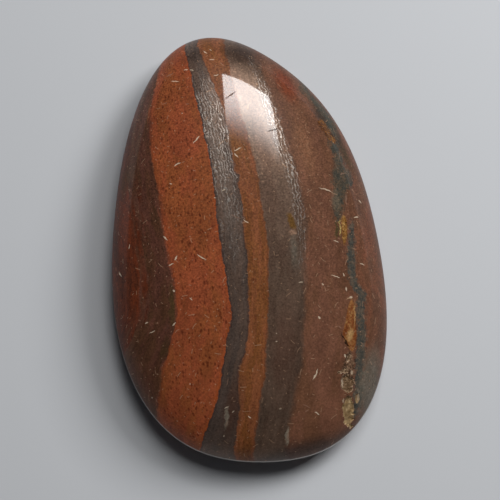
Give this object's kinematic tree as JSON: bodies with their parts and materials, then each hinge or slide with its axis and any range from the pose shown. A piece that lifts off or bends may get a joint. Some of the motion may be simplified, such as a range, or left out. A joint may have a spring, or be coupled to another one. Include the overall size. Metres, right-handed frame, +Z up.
{
  "type": "banded ironstone palm stone",
  "caption": "Egg-shaped polished stone with a domed top and a low rounded back, in bands of red jasper and grey hematite, lying on a small flat spot.",
  "frame": {"origin": "on the flat spot under the stone, in the middle of its length and width", "axes": "+Y towards the narrow end, along the length; +Z up through the dome; +X towards the side with the broken yellow seam"},
  "size_m": [0.028, 0.045, 0.0096],
  "materials": {
    "polished_ironstone": "polished to a gloss, with lengthwise bands of red-brown jasper and grey metallic hematite"
  },
  "bodies": {
    "root": {"banded_ironstone": "polished_ironstone"}
  },
  "joints": []
}
